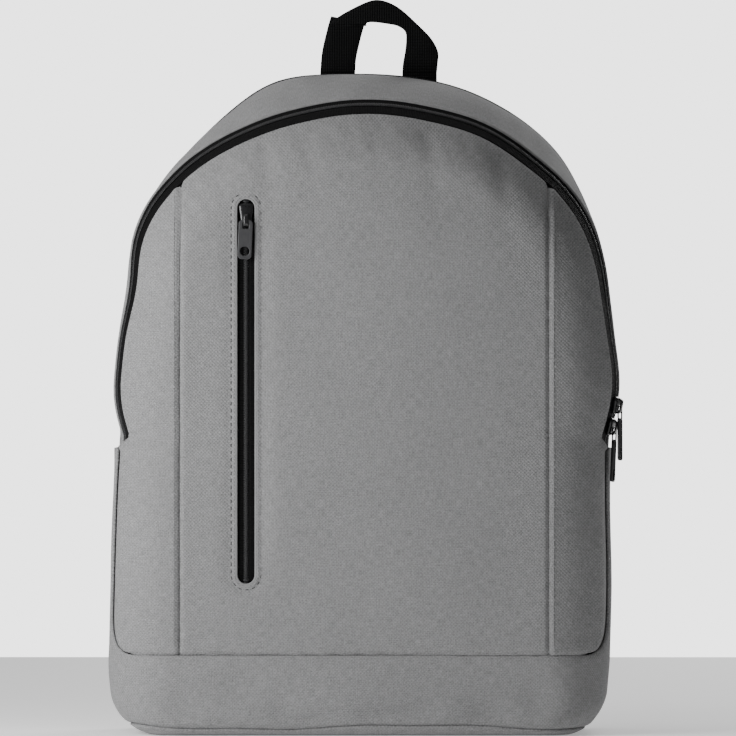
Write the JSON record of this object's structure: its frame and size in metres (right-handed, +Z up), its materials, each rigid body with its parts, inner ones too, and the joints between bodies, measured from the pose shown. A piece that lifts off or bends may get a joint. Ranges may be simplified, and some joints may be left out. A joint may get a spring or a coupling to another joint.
{
  "type": "daypack",
  "caption": "Soft arch-topped daypack with a front panel that zips open, a vertical front pocket zip, a webbing grab handle and padded shoulder straps.",
  "frame": {"origin": "centre of the bag's width on the surface it stands on, at the middle of its depth", "axes": "+X to the viewer's right, +Y from the zip front towards the wearer's back, +Z up"},
  "size_m": [0.3264, 0.1713, 0.4642],
  "materials": {
    "grey_cloth": "plain weave polyester",
    "side_cloth": "plain weave polyester",
    "foam": "closed-cell foam",
    "back_mesh": "spacer mesh over foam",
    "lining": "thin lining cloth",
    "zip_tape": "woven zip tape",
    "zip_coil": "nylon coil",
    "webbing": "ribbed webbing",
    "slider_metal": "black lacquer, gloss",
    "bail_wire": "black lacquer",
    "pull_metal": "black lacquer",
    "pocket_pull_metal": "dark nickel",
    "stop_metal": "black lacquer",
    "buckle": "moulded acetal"
  },
  "bodies": {
    "bag": {"back_panel": "back_mesh", "back_foam": "foam", "top_gusset": "side_cloth", "bottom_panel": "grey_cloth", "base_band": "grey_cloth", "left_side_panel": "side_cloth", "right_side_panel": "side_cloth", "left_front_strip": "grey_cloth", "right_front_strip": "grey_cloth", "front_panel": "grey_cloth", "main_zip_rear_tape": "zip_tape", "main_zip_rear_coil": "zip_coil", "main_zip_tape_ends": "zip_tape", "main_zip_coil_ends": "zip_coil", "main_zip_end_stops": "stop_metal", "pocket_zip_tapes": "zip_tape", "pocket_zip_coil": "zip_coil", "pocket_bag": "lining", "pocket_zip_lower_stop": "stop_metal", "handle_anchors": "webbing", "strap_yoke": "webbing", "left_base_tab": "grey_cloth", "right_base_tab": "grey_cloth"},
    "front_flap": {"flap_panel": "grey_cloth", "left_flap_strip": "grey_cloth", "right_flap_strip": "grey_cloth", "main_zip_front_tape": "zip_tape", "main_zip_front_coil": "zip_coil", "flap_pocket_zip_tapes": "zip_tape", "flap_pocket_zip_coil": "zip_coil", "flap_pocket_bag": "lining", "pocket_zip_upper_stop": "stop_metal"},
    "upper_slider": {"upper_slider": "slider_metal"},
    "upper_bail": {"upper_slider_bail": "bail_wire"},
    "upper_pull": {"upper_slider_pull": "pull_metal"},
    "lower_slider": {"lower_slider": "slider_metal"},
    "lower_bail": {"lower_slider_bail": "bail_wire"},
    "lower_pull": {"lower_slider_pull": "pull_metal"},
    "pocket_slider": {"pocket_slider": "slider_metal"},
    "pocket_pull": {"pocket_slider_pull": "pocket_pull_metal"},
    "grab_handle": {"grab_handle": "webbing"},
    "left_strap": {"left_strap_foam": "foam", "left_strap_pad": "back_mesh", "left_lock_loop": "webbing", "left_strap_webbing": "webbing", "left_ladder_lock": "buckle"},
    "right_strap": {"right_strap_foam": "foam", "right_strap_pad": "back_mesh", "right_lock_loop": "webbing", "right_strap_webbing": "webbing", "right_ladder_lock": "buckle"}
  },
  "joints": [
    {"name": "front_flap_fold", "type": "hinge", "parent": "bag", "child": "front_flap", "pos_m": [0, -0.072, 0.217], "axis": [1, 0, 0], "range_deg": [0, 50]},
    {"name": "upper_slider_travel", "type": "hinge", "parent": "bag", "child": "upper_slider", "pos_m": [0, -0.038, 0.2395], "axis": [0, -1, 0], "range_deg": [0, 207.3]},
    {"name": "lower_slider_travel", "type": "hinge", "parent": "bag", "child": "lower_slider", "pos_m": [0, -0.038, 0.2395], "axis": [0, -1, 0], "range_deg": [-1.5, 0.6]},
    {"name": "upper_bail_swing", "type": "hinge", "parent": "upper_slider", "child": "upper_bail", "pos_m": [0.16081, -0.03975, 0.20766], "axis": [-0.399, -0.9135, 0.079], "range_deg": [0, 90]},
    {"name": "upper_pull_swing", "type": "hinge", "parent": "upper_bail", "child": "upper_pull", "pos_m": [0.16081, -0.04047, 0.19929], "axis": [-0.399, -0.9135, 0.079], "range_deg": [0, 60]},
    {"name": "lower_bail_swing", "type": "hinge", "parent": "lower_slider", "child": "lower_bail", "pos_m": [0.1575, -0.03975, 0.19404], "axis": [-0.3908, -0.9135, 0.1128], "range_deg": [0, 90]},
    {"name": "lower_pull_swing", "type": "hinge", "parent": "lower_bail", "child": "lower_pull", "pos_m": [0.15713, -0.04062, 0.18569], "axis": [-0.3908, -0.9135, 0.1128], "range_deg": [0, 60]},
    {"name": "pocket_slider_travel", "type": "slide", "parent": "front_flap", "child": "pocket_slider", "axis": [0, 0, 1], "range_m": [-0.218, 0]},
    {"name": "pocket_pull_swing", "type": "hinge", "parent": "pocket_slider", "child": "pocket_pull", "pos_m": [-0.0752, -0.0743, 0.3246], "axis": [-1, 0, 0], "range_deg": [0, 165]},
    {"name": "grab_handle_fold", "type": "hinge", "parent": "bag", "child": "grab_handle", "pos_m": [0.0077, 0.056, 0.4216], "axis": [1, 0, 0], "range_deg": [-85, 85], "stiffness_Nm_per_rad": 0.01},
    {"name": "left_strap_swing", "type": "hinge", "parent": "bag", "child": "left_strap", "pos_m": [-0.048, 0.0715, 0.396], "axis": [-0.2257, 0, -0.9742], "range_deg": [-6, 6], "stiffness_Nm_per_rad": 0.5},
    {"name": "right_strap_swing", "type": "hinge", "parent": "bag", "child": "right_strap", "pos_m": [0.048, 0.0715, 0.396], "axis": [0.2257, 0, -0.9742], "range_deg": [-6, 6], "stiffness_Nm_per_rad": 0.5}
  ],
  "couplings": [
    {"joint": "lower_bail_swing", "follows": "upper_bail_swing", "ratio": 1},
    {"joint": "lower_pull_swing", "follows": "upper_pull_swing", "ratio": 1}
  ]
}
